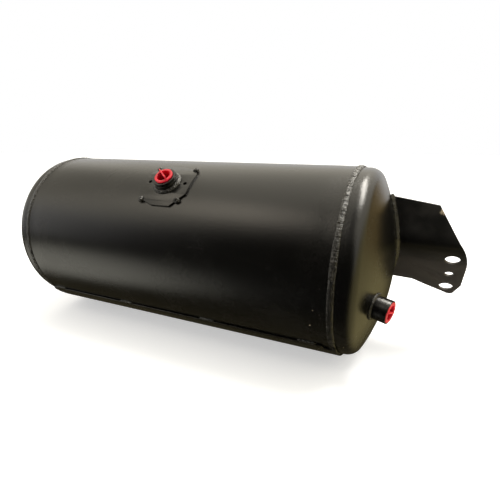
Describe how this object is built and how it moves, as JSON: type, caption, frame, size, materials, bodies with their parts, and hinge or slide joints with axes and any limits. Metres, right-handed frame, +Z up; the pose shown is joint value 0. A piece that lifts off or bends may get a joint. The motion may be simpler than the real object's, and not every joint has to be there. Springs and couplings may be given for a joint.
{
  "type": "horizontal pressure tank",
  "caption": "Horizontal welded steel pressure tank with dished ends, capped ports on its flank and end, a bent end bracket with bolt holes and a rolled cradle plate on a foot bar.",
  "frame": {"origin": "middle of the foot bar's underside, on the floor under the middle of the shell", "axes": "+X along the tank towards the bracket, +Z up, -Y the side the ports face"},
  "size_m": [0.8227, 0.307, 0.3139],
  "materials": {
    "black_paint": "semi-gloss black powder coat over steel, with a fine orange peel",
    "red_plastic": "moulded red polyethylene, slightly glossy"
  },
  "bodies": {
    "root": {"bracket_weld_back": "black_paint", "bracket_weld_front": "black_paint", "cradle": "black_paint", "cradle_welds_back": "black_paint", "cradle_welds_front": "black_paint", "end_boss": "black_paint", "end_boss_weld": "black_paint", "end_bracket": "black_paint", "end_plug": "red_plastic", "foot_bar": "black_paint", "foot_weld_back": "black_paint", "foot_weld_front": "black_paint", "left_girth_weld": "black_paint", "left_head": "black_paint", "plate_tack_back_left": "black_paint", "plate_tack_back_right": "black_paint", "plate_tack_front_left": "black_paint", "plate_tack_front_right": "black_paint", "port_boss": "black_paint", "port_boss_weld": "black_paint", "port_plate": "black_paint", "port_plug": "red_plastic", "right_girth_weld": "black_paint", "right_head": "black_paint", "seam_weld": "black_paint", "shell": "black_paint"}
  },
  "joints": []
}
